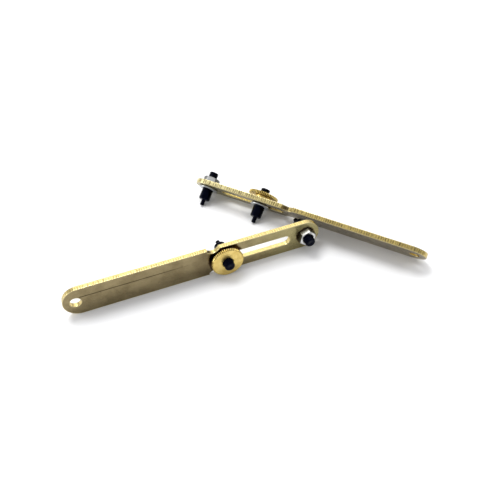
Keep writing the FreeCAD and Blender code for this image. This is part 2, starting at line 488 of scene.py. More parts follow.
class Effects:
    """The shader node groups, each built once."""

    def __init__(self) -> None:
        """Builds every group."""
        self.grain = self.make_grain()
        self.cloud = self.make_cloud()
        self.rings = self.make_rings()
        self.scratches = self.make_scratches()

    @staticmethod
    def new_group(name: str, inputs: dict[str, float], output: str) -> tuple[ShaderMaker, Any]:
        """Makes an empty group with a Vector input.

        Args:
            name: the group's name.
            inputs: its float inputs and their defaults.
            output: its float output.

        Returns:
            The maker of its tree and its input sockets.
        """
        make = ShaderMaker(bpy.data.node_groups.new(name, "ShaderNodeTree"))
        make.declare("Vector", "Vector")
        for key, value in inputs.items():
            make.declare(key, "Float", value)
        make.declare(output, "Float", way="OUTPUT")
        return make, make.add("NodeGroupInput").outputs

    @staticmethod
    def finish(make: ShaderMaker, value: Socket) -> Tree:
        """Joins the result to the group's output and returns the group."""
        make.add("NodeGroupOutput", {0: value})
        return make.tree

    def make_grain(self) -> Tree:
        """Fine streaks along x, as drawing and sanding leave on bar stock."""
        make, given = self.new_group("lengthwise_grain", {"Fineness": 9.0, "Stretch": 40.0}, "Streaks")
        fine = given["Fineness"]
        thin = make.stretched(given["Vector"], make.vector(make.over(fine, given["Stretch"]), fine, fine))
        coarse = make.stretched(thin, (0.7, 0.23, 0.23))
        both = make.plus(make.times(make.noise(thin, 1.0, 3.0, 0.7), 0.65),
                         make.times(make.noise(coarse, 1.0), 0.35))
        return self.finish(make, make.between(both, 0.3, 0.7, smooth=False))

    def make_cloud(self) -> Tree:
        """Soft uneven patches, as handling and tarnish leave."""
        make, given = self.new_group("handling_cloud", {"Size": 6.0, "Contrast": 0.18}, "Patches")
        value = make.noise(make.scaled(given["Vector"], make.over(1.0, given["Size"])), 1.0, 4.0, 0.62)
        low, high = make.minus(0.5, given["Contrast"]), make.plus(0.5, given["Contrast"])
        return self.finish(make, make.between(value, low, high))

    def make_rings(self) -> Tree:
        """Fine circles about z, as a lathe tool leaves on a face, and bands along z on an outside."""
        make, given = self.new_group("lathe_rings", {"Pitch": 0.16, "Waver": 0.3}, "Rings")
        x, y, z = make.parts(given["Vector"])
        run = make.over(make.plus(make.length(x, y), z), given["Pitch"])
        cut = make.wave(make.plus(run, make.times(make.noise(given["Vector"], 0.7), given["Waver"])))
        line = make.vector(make.times(run, 0.37))
        uneven = make.between(make.noise(line, 1.0, 3.0, 0.7), 0.3, 0.7, 0.3, 1.0)
        return self.finish(make, make.times(cut, uneven))

    def make_scratches(self) -> Tree:
        """Sparse hairline scratches in several directions."""
        make, given = self.new_group("hairline_scratches", {"Density": 0.5}, "Scratches")
        total: Any = 0.0
        for turn, stretch in ((0.35, 0.05), (-0.8, 0.07), (1.25, 0.06)):
            place = make.add("ShaderNodeVectorRotate", {"Vector": given["Vector"], "Angle": turn},
                             rotation_type="Z_AXIS")
            value = make.noise(make.stretched(place, (stretch, 2.6, 2.6)), 1.0, 1.0)
            line = make.between(make.math("ABSOLUTE", make.minus(value, 0.5)), 0.0, 0.012, 1.0, 0.0)
            patch = make.between(make.noise(make.stretched(place, (0.21, 0.21, 0.21)), 1.0), 0.52, 0.68)
            total = make.larger(total, make.times(line, patch))
        return self.finish(make, make.times(total, given["Density"]))


class MetalSheet:
    """One metal's material while it is put together."""

    def __init__(self, name: str, place: Matrix) -> None:
        """Starts a material whose patterns lie in a spanner's own millimetres.

        Args:
            name: the material's name.
            place: the matrix that takes those millimetres to the row frame.
        """
        self.material = bpy.data.materials.new(name)
        self.material.use_nodes = True
        self.material.node_tree.nodes.clear()
        self.make = ShaderMaker(self.material.node_tree)
        location, rotation, scale = place.decompose()
        coordinates = self.make.add("ShaderNodeTexCoord").outputs["Object"]
        self.place = self.make.add("ShaderNodeMapping", {
            "Vector": coordinates, "Location": location, "Rotation": rotation.to_euler(), "Scale": scale},
            vector_type="TEXTURE").outputs[0]
        self.x, self.y, self.z = self.make.parts(self.place)

    def effect(self, group: Tree, **values: float) -> Socket:
        """Places a shared effect and returns its value."""
        return self.make.add("ShaderNodeGroup", {"Vector": self.place, **values}, node_tree=group).outputs[0]

    def attribute(self, name: str) -> Socket:
        """A float attribute of the piece's mesh."""
        return self.make.add("ShaderNodeAttribute", attribute_name=name).outputs["Fac"]

    def on_nut_face(self) -> Socket:
        """1 on the bar's face that the nuts sit on, 0 elsewhere."""
        return self.make.above(self.z, NUT_FACE_FROM)

    def close(self, colour: Any, roughness: Any, height: Any, depth: float, **constants: float) -> Material:
        """Adds the metal's shader and its relief.

        Args:
            colour: the reflected colour.
            roughness: the roughness.
            height: the relief from 0 to 1.
            depth: how deep the relief is, in metres.
            **constants: sockets of the shader that are the same all over, by name with underscores.

        Returns:
            The finished material.
        """
        bump = self.make.add("ShaderNodeBump", {"Height": height, "Distance": depth, "Strength": 1.0})
        shader = self.make.add("ShaderNodeBsdfPrincipled", {
            "Base Color": colour, "Roughness": roughness, "Metallic": 1.0, "Normal": bump,
            **{key.replace("_", " "): value for key, value in constants.items()}})
        self.make.add("ShaderNodeOutputMaterial", {"Surface": shader})
        return self.material


@dataclass(frozen=True)
class SatinBarBrass:
    """Flat brass bar: lengthwise grain, faint tarnish, rubbed edges, darker tool marks, walls made brighter
    in part as a painted highlight, and painted shade round the nuts, past the shoulder and on one side of
    each scallop.

    A nut shade pair is how far round a nut the face is darkened by painted shade and how far beyond that the
    shade fades, in millimetres.
    """

    effects: Effects
    clean: Colour = (0.31, 0.25, 0.135, 1.0)
    dull: Colour = (0.165, 0.128, 0.064, 1.0)
    arm_face: Colour = (0.40, 0.36, 0.165, 1.0)
    # The narrow walls' milled colour, partly the milled finish and partly a painted highlight that makes the
    # walls brighter than the faces; the second one is taken toward the pin end.
    milled_and_highlight: Colour = (0.69, 0.55, 0.22, 1.0)
    pin_end_milled_and_highlight: Colour = (0.69, 0.55, 0.22, 1.0)
    rubbed: Colour = (0.70, 0.60, 0.32, 1.0)
    mark: Colour = (0.34, 0.25, 0.09, 1.0)
    scribe: Colour = (0.02, 0.014, 0.006, 1.0)
    # The colour of the painted shade round the nuts, past the shoulder and on one side of each scallop.
    painted_shade: Colour = (0.035, 0.016, 0.005, 1.0)
    thumb_nut_shade: tuple[float, float] = (6.8, 0.9)
    hex_nut_shade: tuple[float, float] = (3.7, 0.7)
    relief: float = 0.000006

    @staticmethod
    def nut_shade_ring(sheet: MetalSheet, nut_x: float, reach: float, fade: float) -> Socket:
        """Painted shade round a nut; the face right under the nut is left lighter.

        Args:
            sheet: the material.
            nut_x: where the nut is along the bar.
            reach: the radius within which the face is dark.
            fade: how far beyond that the painted shade fades out.

        Returns:
            A value from 0 to 1.
        """
        make = sheet.make
        waver = make.times(make.minus(make.noise(sheet.place, 0.6), 0.5), 1.2)
        far = make.plus(make.length(make.minus(sheet.x, nut_x), sheet.y), waver)
        ring = make.times(make.between(far, reach, reach + fade, 1.0, 0.0),
                          make.between(far, reach * 0.58, reach * 0.76, 0.12, 1.0))
        return make.times(ring, sheet.on_nut_face())

    def build(self, name: str, spot: SpannerFrame, scribe_line: "ScribeLine | None") -> Material:
        """Builds the material for one bar.

        Args:
            name: the material's name.
            spot: where the spanner lies.
            scribe_line: the line scribed in the handle, or None.

        Returns:
            The material.
        """
        sheet = MetalSheet(name, spot.matrix)
        make = sheet.make
        streaks = sheet.effect(self.effects.grain, Fineness=7.0, Stretch=45.0)
        patches = sheet.effect(self.effects.cloud, Size=7.0, Contrast=0.2)
        scratches = sheet.effect(self.effects.scratches, Density=0.6)
        toward_pin = make.between(sheet.x, 8.0, 40.0, 1.0, 0.0)
        # Painted shade round the thumb nut and the hex nut.
        nuts = make.larger(self.nut_shade_ring(sheet, spot.sliding_pin_x, *self.thumb_nut_shade),
                           self.nut_shade_ring(sheet, spot.end_pin_x, *self.hex_nut_shade))
        # Painted shade on the handle's face just past the shoulder.
        shoulder_shade = make.times(make.between(sheet.x, 47.0, 56.0, 0.34, 0.0), make.above(sheet.x, 46.5))
        speckle = make.between(make.noise(sheet.place, 1.5, 3.0, 0.75), 0.45, 0.62, 1.0, 0.45)
        # The walls' colour, changing toward the pin end; on the rear bar the pin end is lighter as a painted
        # highlight.
        milled_and_highlight = make.layer(self.milled_and_highlight, self.pin_end_milled_and_highlight, make.between(sheet.x, 10.0, 60.0, 1.0, 0.0))
        colour: Any = self.clean
        # Layers: tarnish patches and streaks, the arm's face colour, painted shade round the nuts and past
        # the shoulder, the walls' milled colour with its painted highlight, tool marks, painted shade on one
        # side of each scallop, and rubbed edges.
        for over, mask, strength in (
                (self.dull, patches, 0.75), (self.dull, streaks, 0.3), (self.arm_face, toward_pin, 0.6),
                (self.painted_shade, make.larger(nuts, shoulder_shade), 0.95),
                (milled_and_highlight, make.times(sheet.attribute("wall"), speckle), 1.0),
                (self.mark, sheet.attribute("tool_mark"), 1.0), (self.painted_shade, sheet.attribute("scallop_shade"), 0.9),
                (self.rubbed, sheet.attribute("edge_rub"), 0.6)):
            colour = make.layer(colour, over, mask, strength)
        roughness = make.plus(make.between(streaks, 0.0, 1.0, 0.18, 0.27), make.times(patches, 0.06))
        if scribe_line is not None:
            line_darkness = scribe_line.mask(sheet)
            colour = make.layer(colour, self.scribe, line_darkness)
            roughness = make.plus(roughness, make.times(line_darkness, 0.3), clamp=True)
        height = make.minus(make.times(streaks, 0.8), make.times(scratches, 0.5))
        return sheet.close(colour, roughness, height, self.relief)


# The rear bar's darker tool marks, and its walls lighter toward the pin end as a painted highlight.
REAR_TONES: dict[str, Colour] = {
    "mark": (0.06, 0.035, 0.010, 1.0),
    "milled_and_highlight": (0.70, 0.54, 0.18, 1.0),
    "pin_end_milled_and_highlight": (0.98, 0.86, 0.44, 1.0),
}


@dataclass(frozen=True)
class TurnedBrass:
    """Thumb nut brass: yellow, fine lathe rings, with painted shade in the knurl's valleys."""

    effects: Effects
    clean: Colour = (0.84, 0.65, 0.23, 1.0)
    dull: Colour = (0.60, 0.43, 0.12, 1.0)
    # The colour of the painted shade in the knurl's valleys.
    valley: Colour = (0.02, 0.011, 0.003, 1.0)
    relief: float = 0.000008

    def build(self, name: str, place: Matrix) -> Material:
        """Builds the material about one thumb nut's axis."""
        sheet = MetalSheet(name, place)
        make = sheet.make
        rings = sheet.effect(self.effects.rings, Pitch=0.17, Waver=0.35)
        patches = sheet.effect(self.effects.cloud, Size=2.6, Contrast=0.2)
        scratches = sheet.effect(self.effects.scratches, Density=0.8)
        colour = make.layer(self.clean, self.dull, patches, 0.8)
        colour = make.layer(colour, self.dull, rings, 0.3)
        # Painted shade in the knurl's valleys.
        colour = make.layer(colour, self.valley, sheet.attribute("valley"))
        roughness = make.plus(make.between(rings, 0.0, 1.0, 0.22, 0.32), make.times(patches, 0.08))
        return sheet.close(colour, roughness, make.minus(rings, make.times(scratches, 0.5)), self.relief)


@dataclass(frozen=True)
class PlainMetal:
    """A steel finish with lathe rings, patches and rubbed spots, and painted shade on a hex nut's flats."""

    base: Colour
    patch: Colour
    rough_low: float
    rough_high: float
    ring_pitch: float
    relief: float
    coat: float = 0.0
    coat_roughness: float = 0.14

    def build(self, effects: Effects, name: str, place: Matrix) -> Material:
        """Builds the material about one piece's axis."""
        sheet = MetalSheet(name, place)
        make = sheet.make
        rings = sheet.effect(effects.rings, Pitch=self.ring_pitch, Waver=0.5)
        patches = sheet.effect(effects.cloud, Size=1.8, Contrast=0.22)
        scratches = sheet.effect(effects.scratches, Density=1.0)
        share = make.plus(make.times(patches, 0.5), make.times(scratches, 0.4))
        # Painted shade on each flat of a hex nut; only the hex nut's mesh carries it.
        share = make.plus(share, sheet.attribute("facet_tone"), clamp=True)
        wear = make.plus(make.times(patches, 0.6), make.times(rings, 0.4))
        roughness = make.between(wear, 0.0, 1.0, self.rough_low, self.rough_high, smooth=False)
        height = make.minus(rings, make.times(scratches, 0.6))
        return sheet.close(make.layer(self.base, self.patch, share), roughness, height, self.relief,
                           Coat_Weight=self.coat, Coat_Roughness=self.coat_roughness)


BLACK_OXIDE = PlainMetal(base=(0.001, 0.0014, 0.005, 1.0), patch=(0.004, 0.006, 0.016, 1.0), rough_low=0.12,
                         rough_high=0.28, ring_pitch=0.21, relief=0.000006, coat=0.03)
DULL_ZINC = PlainMetal(base=(0.50, 0.52, 0.54, 1.0), patch=(0.32, 0.33, 0.35, 1.0), rough_low=0.24,
                       rough_high=0.42, ring_pitch=0.3, relief=0.000005)
# The bright zinc's dark patch colour is what the painted shade on the hex nut's flats darkens toward.
BRIGHT_ZINC = PlainMetal(base=(0.82, 0.82, 0.80, 1.0), patch=(0.10, 0.10, 0.09, 1.0), rough_low=0.26,
                         rough_high=0.40, ring_pitch=0.4, relief=0.000004)


# ---- geometry trees


class ShapeTrees:
    """The geometry trees that cut what repeats: knurl, screw thread and tool marks."""

    def __init__(self) -> None:
        """Builds every tree."""
        self.knurl = self.make_knurl()
        self.thread = self.make_thread()
        self.tool_marks = self.make_tool_marks()

    @staticmethod
    def make_knurl() -> Tree:
        """Straight teeth round a rim. Points outside the tooth outline are pulled in to it."""
        make = GeometryMaker("straight_knurl", {"Rim Radius": 6.5, "Tooth Depth": 0.38, "Crest Width": 0.3},
                             {"Teeth": 52})
        rim, depth, crest = (make.source[key] for key in ("Rim Radius", "Tooth Depth", "Crest Width"))
        radius, angle, _ = make.polar()
        wave = make.wave(make.times(make.over(angle, math.tau), make.source["Teeth"]))
        valley = make.larger(make.over(make.minus(wave, crest), make.minus(1.0, crest)), 0.0)
        cut = make.cap_radius(make.minus(rim, make.times(valley, depth)))
        on_rim = make.above(radius, make.minus(rim, make.times(depth, 1.2)))
        # Keeps how deep each point lies in a tooth gap, which the thumb nut's material turns into painted
        # shade.
        return make.close(make.stored(cut, "valley", make.times(valley, on_rim)))

    @staticmethod
    def make_thread() -> Tree:
        """A right-handed screw thread about z, cut into whatever is wider than its root."""
        make = GeometryMaker("screw_thread", {"Crest Radius": 2.05, "Depth": 0.3, "Pitch": 0.7,
                                              "From Height": 0.0}, {})
        start = make.source["From Height"]
        _, angle, height = make.polar()
        turns = make.minus(make.over(height, make.source["Pitch"]), make.over(angle, math.tau))
        flank = make.times(make.minus(make.wave(turns), 0.12), 1.3, clamp=True)
        started = make.times(make.minus(height, start), 4.0, clamp=True)
        cut = make.times(make.times(flank, started), make.source["Depth"])
        uncut = make.times(make.math("LESS_THAN", height, start), 100.0)
        return make.close(make.cap_radius(make.plus(make.minus(make.source["Crest Radius"], cut), uncut)))

    @staticmethod
    def make_tool_marks() -> Tree:
        """Uneven crosswise cutter marks along the bar's narrow walls."""
        make = GeometryMaker("edge_tool_marks", {"Pitch": 0.62, "Depth": 0.05, "Waver": 1.1}, {"Seed": 7})
        given = make.source
        wall = make.times(make.named("wall"), make.named("outer"))
        run = make.named("run")
        _, _, height = make.place()
        seed = make.times(given["Seed"], 3.7)

        def strip(scale: float, detail: float) -> Socket:
            """Noise that changes along the wall and hardly across it."""
            spot = make.vector(make.times(run, scale), make.times(height, 0.12), seed)
            return make.noise(spot, 1.0, detail)

        phase = make.plus(make.over(run, given["Pitch"]), make.times(strip(0.55, 2.0), given["Waver"]))
        tick = make.math("POWER", make.wave(phase), 1.5)
        uneven = make.times(make.larger(make.minus(strip(1.9, 3.0), 0.33), 0.0), 4.2)
        mark = make.times(make.smaller(make.times(tick, uneven), 1.0), wall)
        inward = make.scaled(make.add("GeometryNodeInputNormal"),
                             make.times(make.times(mark, given["Depth"]), -1.0))
        stored = make.stored(given["Geometry"], "tool_mark", mark)
        return make.close(make.add("GeometryNodeSetPosition", {"Geometry": stored, "Offset": inward}))


# ---- pieces


@dataclass(frozen=True)
class ScribeLine:
    """A fine line scribed along the handle, from beside the hanging hole toward the arm."""

    across_y: float = -12.7 / 6
    start_x: float = 54.5
    end_x: float = 95.9
    fade_length: float = 14.0
    width: float = 0.26
    depth: float = 0.1
    steps: int = 60

    def half_width_at(self, share: float) -> float:
        """The groove's half width at a share of its length; it fades out toward the arm."""
        return self.width / 2 * (0.35 + 0.65 * min(1.0, share * 1.6))

    def mask(self, sheet: MetalSheet) -> Socket:
        """The line's darkness in a bar's material.

        Args:
            sheet: the material, whose place is in the spanner frame.

        Returns:
            A value from 0 to 1.
        """
        make = sheet.make
        off = make.math("ABSOLUTE", make.minus(sheet.y, self.across_y))
        line = make.between(off, self.width * 0.35, self.width * 0.75, 1.0, 0.0)
        ends = make.between(sheet.x, self.start_x, self.start_x + self.fade_length, 0.15, 1.0)
        inside = make.times(make.above(sheet.x, self.start_x),
                            make.math("LESS_THAN", sheet.x, self.end_x + 0.6))
        return make.times(make.times(line, ends), make.times(inside, sheet.on_nut_face()))


@dataclass
class FlatBar:
    """The flat bar: slotted arm, scallops, square shoulder, handle and hanging hole. In millimetres."""

    length: float = 103.0
    width: float = 12.7
    thickness: float = 2.0
    edge_round: float = 0.14
    rub_width: float = 0.2
    hole_radius: float = 2.1
    hole_from_end: float = 4.8
    end_pin_x: float = 5.9
    pin_hole_radius: float = 2.1
    slot_radius: float = 2.15
    slot_start: float = 14.9
    slot_end: float = 40.0
    shoulder_x: float = 47.0
    scallop_x: float = 44.8
    scallop_radius: float = 3.0
    scallop_depth: float = 1.7
    spacing: float = 0.11
    corner_turn: float = math.radians(20)
    round_steps: int = 4
    wall_rows: int = 5
    scallop_steps: int = 40
    end_steps: int = 120
    hole_steps: int = 96
    slot_steps: int = 40
    slot_spacing: float = 0.5
    mark_pitch: float = 0.95
    mark_depth: float = 0.08
    # Where the painted shade on each scallop is centred, measured from the scallop's centre, and how far it
    # reaches.
    scallop_shade_offset: float = 1.7
    scallop_shade_reach: float = 1.7

    @property
    def hole_x(self) -> float:
        """Where the hanging hole is along the bar."""
        return self.length - self.hole_from_end

    @staticmethod
    def arc(centre: tuple[float, float], radius: float, start: float, end: float,
            steps: int) -> list[Vector]:
        """Points on an arc, its two ends included; angles in radians."""
        angles = [start + (end - start) * k / steps for k in range(steps + 1)]
        return [Vector((centre[0] + radius * math.cos(a), centre[1] + radius * math.sin(a))) for a in angles]

    @staticmethod
    def straight(start: Vector, end: Vector, spacing: float) -> list[Vector]:
        """Points strictly between two ends."""
        count = max(1, round((end - start).length / spacing))
        return [start.lerp(end, k / count) for k in range(1, count)]

    def upper_side(self) -> list[Vector]:
        """The long edge at +y, from the handle's end to the pin end."""
        half = self.width / 2
        centre_y = half - self.scallop_depth + self.scallop_radius
        rise = centre_y - half
        arm_reach = math.sqrt(self.scallop_radius ** 2 - rise ** 2)
        shoulder_reach = self.shoulder_x - self.scallop_x
        shoulder_y = centre_y - math.sqrt(self.scallop_radius ** 2 - shoulder_reach ** 2)
        start_angle = math.atan2(shoulder_y - centre_y, shoulder_reach)
        end_angle = math.atan2(-rise, -arm_reach)
        scallop = self.arc((self.scallop_x, centre_y), self.scallop_radius, start_angle, end_angle,
                           self.scallop_steps)
        handle_end = Vector((self.length - half, half))
        shoulder = Vector((self.shoulder_x, half))
        arm_end = Vector((half, half))
        points = [handle_end, *self.straight(handle_end, shoulder, self.spacing), shoulder]
        points += self.straight(shoulder, scallop[0], self.spacing) + scallop
        return points + self.straight(scallop[-1], arm_end, self.spacing) + [arm_end]

    def outline(self) -> list[Vector]:
        """The outer outline, counter-clockwise, so that the material is on its left."""
        half = self.width / 2
        upper = self.upper_side()
        lower = [Vector((p.x, -p.y)) for p in reversed(upper)]
        pin_end = self.arc((half, 0), half, math.pi / 2, 3 * math.pi / 2, self.end_steps)
        handle_end = self.arc((self.length - half, 0), half, -math.pi / 2, math.pi / 2, self.end_steps)
        return self.clear_corners(upper + pin_end[1:-1] + lower + handle_end[1:-1])

    def clear_corners(self, loop: list[Vector]) -> list[Vector]:
        """Drops the points beside each outer corner that would cross over when the outline is moved in.

        Args:
            loop: the outline.

        Returns:
            The outline with its corners kept and the points near them left out.
        """
        corners = []
        for k, here in enumerate(loop):
            before, after = here - loop[k - 1], loop[(k + 1) % len(loop)] - here
            turn = math.atan2(before.cross(after), before.dot(after))
            if turn > self.corner_turn:
                corners.append((here, (self.edge_round + self.rub_width) * math.tan(turn / 2) + 0.03))
        return [p for p in loop if all(p == c or (p - c).length > reach for c, reach in corners)]

    def openings(self) -> list[list[Vector]]:
        """The pin hole, slot and hanging hole, clockwise."""
        slot: list[Vector] = []
        quarter = math.pi / 2
        for near, far, r in ((self.slot_end, self.slot_start, self.slot_radius),
                             (self.slot_start, self.slot_end, -self.slot_radius)):
            first = quarter if r > 0 else -quarter
            slot += self.arc((near, 0), self.slot_radius, first, first - math.pi, self.slot_steps)
            slot += self.straight(Vector((near, -r)), Vector((far, -r)), self.slot_spacing)
        holes = [self.arc((x, 0), radius, math.tau, 0, self.hole_steps)[:-1] for x, radius in (
            (self.hole_x, self.hole_radius), (self.end_pin_x, self.pin_hole_radius))]
        return [slot, *holes]

    def stations(self) -> list[tuple[float, float, float, float]]:
        """The rows from the upper face to the lower one: inset, z, edge rub and wall share."""
        half = self.thickness / 2
        r = self.edge_round
        down = [(r + self.rub_width, half, 0.0, 0.0)]
        for k in range(self.round_steps + 1):
            a = math.pi / 2 * k / self.round_steps
            down.append((r - r * math.sin(a), half - r + r * math.cos(a), 1.0, 0.6 * k / self.round_steps))
        wall = [(0.0, (half - r) * (1 - 2 * k / (self.wall_rows + 1)), 0.0, 1.0)
                for k in range(1, self.wall_rows + 1)]
        return down + wall + [(inset, -z, rub, share) for inset, z, rub, share in reversed(down)]

    def scallop_shade_at(self, point: Vector) -> float:
        """How much painted shade a point of the outline takes: only on one side of each scallop."""
        if abs(point.y) > self.width / 2 - 0.02 or not self.scallop_x - 4 < point.x < self.shoulder_x + 0.1:
            return 0.0
        off = abs(point.x - self.scallop_x - self.scallop_shade_offset) / self.scallop_shade_reach
        return max(0.0, 1.0 - off * off)

    @staticmethod
    def insets(loop: list[Vector]) -> list[Vector]:
        """For each point, the step into the material that moves both its edges in by 1."""
        result = []
        for k, here in enumerate(loop):
            before = (here - loop[k - 1]).normalized()
            after = (loop[(k + 1) % len(loop)] - here).normalized()
            left = (Vector((-before.y, before.x)) + Vector((-after.y, after.x)))
            left.normalize()
            reach = max(0.4, left.dot(Vector((-after.y, after.x))))
            result.append(left / reach)
        return result

    def build(self, scribe_line: ScribeLine | None) -> Mesh:
        """Builds the bar in the spanner frame, in millimetres.

        Args:
            scribe_line: the line to cut in the nut side's face, or None.

        Returns:
            A closed mesh with the attributes edge_rub, wall, outer, the scallops' painted shade, and run.
        """
        shape = bmesh.new()
        layers = [shape.verts.layers.float.new(name) for name in BAR_ATTRIBUTES]
        stations = self.stations()
        rims: tuple[list, list] = ([], [])
        for index, loop in enumerate([self.outline(), *self.openings()]):
            steps = self.insets(loop)
            rings = [[] for _ in stations]
            travelled = 0.0
            for k, (point, step) in enumerate(zip(loop, steps)):
                travelled += (point - loop[k - 1]).length if k else 0.0
                for ring, (inset, z, worn, share) in zip(rings, stations):
                    spot = point + step * inset
                    vert = shape.verts.new((spot.x, spot.y, z))
                    # Painted shade on one side of each scallop, on the outline's rounded edge and wall only.
                    scallop_shade = self.scallop_shade_at(point) if index == 0 and inset <= self.edge_round else 0.0
                    for layer, value in zip(layers, (worn, share, float(index == 0), scallop_shade, travelled)):
                        vert[layer] = value
                    ring.append(vert)
            for ring, lower in zip(rings, rings[1:]):
                for k in range(len(loop)):
                    after = (k + 1) % len(loop)
                    shape.faces.new((ring[k], lower[k], lower[after], ring[after]))
            rims[0].append(rings[0])
            rims[1].append(rings[-1])
        if scribe_line is not None:
            rims[0].append(self.cut_line(shape, scribe_line))
        for rim, facing_up in zip(rims, (True, False)):
            self.fill(shape, rim, facing_up)
        return mesh_of(shape, "bar")

    @staticmethod
    def fill(shape: bmesh.types.BMesh, rims: list[list[bmesh.types.BMVert]], facing_up: bool) -> None:
        """Fills a flat face between its outer rim and the rims of its openings.

        Args:
            shape: the bar being built.
            rims: every rim, as closed rows of points.
            facing_up: true for the nut side's face.
        """
        verts = [vert for rim in rims for vert in rim]
        loops: list[list[int]] = []
        first = 0
        for rim in rims:
            loops.append(list(range(first, first + len(rim))))
            first += len(rim)
        flat = [vert.co.to_2d() for vert in verts]
        filled = delaunay_2d_cdt(flat, [], loops, INSIDE_WITH_HOLES, 1e-7)
        for corners in filled[2]:
            face = [verts[filled[3][k][0]] for k in corners]
            shape.faces.new(face if facing_up else face[::-1])

    def cut_line(self, shape: bmesh.types.BMesh, line: ScribeLine) -> list[bmesh.types.BMVert]:
        """Adds the scribed groove's two flanks.

        Args:
            shape: the bar being built.
            line: the groove.

        Returns:
            The groove's rim, which the upper face is filled round.
        """
        top = self.thickness / 2
        xs = [line.start_x + (line.end_x - line.start_x) * k / line.steps for k in range(line.steps + 1)]
        widths = [line.half_width_at(k / line.steps) for k in range(line.steps + 1)]
        ends = [shape.verts.new((x, line.across_y, top)) for x in (xs[0], xs[-1])]
        sides = [[shape.verts.new((x, line.across_y + sign * w, top)) for x, w in
                  list(zip(xs, widths))[1:-1]] for sign in (-1, 1)]
        floor = [shape.verts.new((x, line.across_y, top - line.depth * w / (line.width / 2)))
                 for x, w in list(zip(xs, widths))[1:-1]]
        for near, order in zip(sides, (1, -1)):
            for k in range(len(floor) - 1):
                shape.faces.new((near[k], near[k + 1], floor[k + 1], floor[k])[::order])
            shape.faces.new((ends[0], near[0], floor[0])[::order])
            shape.faces.new((near[-1], ends[1], floor[-1])[::order])
        return [ends[0], *sides[0], ends[1], *reversed(sides[1])]


@dataclass
class TurnedPin:
    """A pin turned in one piece: threaded stud, thicker body and thin tip. z = 0 is its shoulder."""

    stud_radius: float = 2.05
    stud_height: float = 8.0
    stud_round: float = 0.55
    stud_round_steps: int = 8
    crater: tuple[RadiusHeight, ...] = ((0.55, 0.0), (0.42, -0.06), (0.0, -0.3))
    body_radius: float = 2.4
    body_length: float = 5.0
    body_foot: float = 0.45
    tip_radius: float = 0.9
    tip_length: float = 2.5
    tip_chamfer: float = 0.3
    corner_round: float = 0.1
    thread_from: float = 2.9
    thread_pitch: float = 0.7
    thread_depth: float = 0.24
    rows_per_turn: int = 9
    columns: int = 96

    def profile(self) -> list[RadiusHeight]:
        """The outline from the tip's end up to the stud's end."""
        foot = -self.body_length
        end = foot - self.tip_length
        tip = softened([(0, end), (self.tip_radius - self.tip_chamfer, end),
                        (self.tip_radius, end + self.tip_chamfer), (self.tip_radius, foot),
                        (self.body_radius - self.body_foot, foot), (self.body_radius, foot + self.body_foot),
                        (self.body_radius, 0), (self.stud_radius, 0)], self.corner_round, 3, closed=False)
        stud = [(self.stud_radius, 0.0), (self.stud_radius, self.stud_height - self.stud_round)]
        for k in range(1, self.stud_round_steps + 1):
            a = math.pi / 2 * k / self.stud_round_steps
            stud.append((self.stud_radius - self.stud_round * (1 - math.cos(a)),
                         self.stud_height - self.stud_round * (1 - math.sin(a))))
        crater = [(radius, self.stud_height + height) for radius, height in self.crater]
        return tip[:-1] + divided(stud, self.thread_pitch / self.rows_per_turn) + crater

    def build(self, trees: ShapeTrees, material: Material) -> Mesh:
        """Builds the pin about z, in millimetres."""
        plain = turned(lambda _: self.profile(), round_angles(self.columns), closed=False)
        return grown(plain, trees.thread, Crest_Radius=self.stud_radius, Depth=self.thread_depth,
                     Pitch=self.thread_pitch, From_Height=self.thread_from, Material=material)


@dataclass
class PlainWasher:
    """A stamped flat washer: one side's outer edge is rounder. z = 0 is its foot."""

    radius: float = 4.2
    hole_radius: float = 2.12
    thickness: float = 0.8
    stamped_round: float = 0.28
    burr_round: float = 0.1
    softening: float = 0.12
    columns: int = 128

    def build(self) -> Mesh:
        """Builds the washer about z, in millimetres."""
        low, high = self.burr_round, self.stamped_round
        rim, hole, top = self.radius, self.hole_radius, self.thickness
        profile = softened([(rim - low, 0), (rim, low), (rim, top - high), (rim - high, top),
                            (hole + low, top), (hole, top - low), (hole, low), (hole + low, 0)],
                           self.softening, 3)
        return turned(lambda _: profile, round_angles(self.columns), closed=True)


